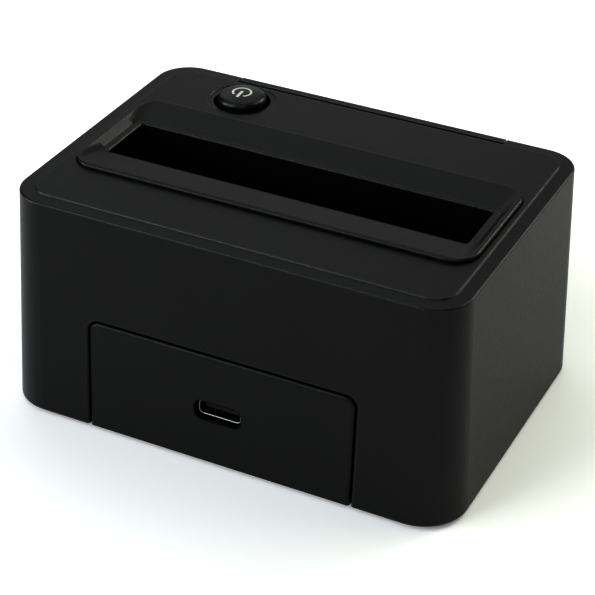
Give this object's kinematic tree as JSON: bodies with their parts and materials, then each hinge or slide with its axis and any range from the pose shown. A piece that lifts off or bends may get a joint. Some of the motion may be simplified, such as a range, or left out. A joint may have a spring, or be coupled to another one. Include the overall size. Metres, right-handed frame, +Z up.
{
  "type": "hard drive docking station",
  "caption": "Desktop dock: a leaning-walled box with a framed slot in its top for an upright drive, a domed power button and a USB-C socket in the rear wall.",
  "frame": {"origin": "middle of the footprint, on the plane of the feet's undersides", "axes": "+X along the drive slot, -Y out of the port side, +Y to the user's front, +Z up"},
  "size_m": [0.0924, 0.0672, 0.0475],
  "materials": {
    "housing_plastic": "fine moulded satin",
    "bay_plastic": "fine moulded satin",
    "base_plastic": "fine moulded satin",
    "fascia_plastic": "fine moulded satin",
    "button_plastic": "semi-gloss",
    "clear_plastic": "clear, polished",
    "foot_rubber": "matt",
    "screw_steel": "plated",
    "pale_plastic": "matt",
    "component_plastic": "matt",
    "contact_brass": "gold plated",
    "board_laminate": "solder mask",
    "shell_steel": "bright plated",
    "can_aluminium": "drawn can"
  },
  "bodies": {
    "dock": {"housing": "housing_plastic", "drive_bay": "bay_plastic", "base": "base_plastic", "front_fascia": "fascia_plastic", "light_pipe": "clear_plastic", "foot_rear_left": "foot_rubber", "foot_rear_right": "foot_rubber", "foot_front_left": "foot_rubber", "foot_front_right": "foot_rubber", "base_screws": "screw_steel", "bay_screws": "screw_steel", "board_screws": "screw_steel", "control_board_screws": "screw_steel", "switch_body": "component_plastic", "switch_spring": "screw_steel", "switch_pins": "contact_brass", "control_board": "board_laminate", "status_led": "clear_plastic", "flat_cable": "pale_plastic", "cable_sockets": "pale_plastic", "main_board": "board_laminate", "usb_shell": "shell_steel", "usb_tongue": "component_plastic", "usb_contacts": "contact_brass", "sata_receptacle": "component_plastic", "sata_contacts": "contact_brass", "bridge_chip": "component_plastic", "regulator": "component_plastic", "inductor": "component_plastic", "capacitors": "can_aluminium", "crystal": "can_aluminium"},
    "button": {"power_button": "button_plastic", "switch_plunger": "pale_plastic"}
  },
  "joints": [
    {"name": "button_press", "type": "slide", "parent": "dock", "child": "button", "axis": [0, 0, -1], "range_m": [0, 0.001], "stiffness_N_per_m": 1500, "springref_m": -0.0006, "deforming": ["switch_spring"]}
  ]
}
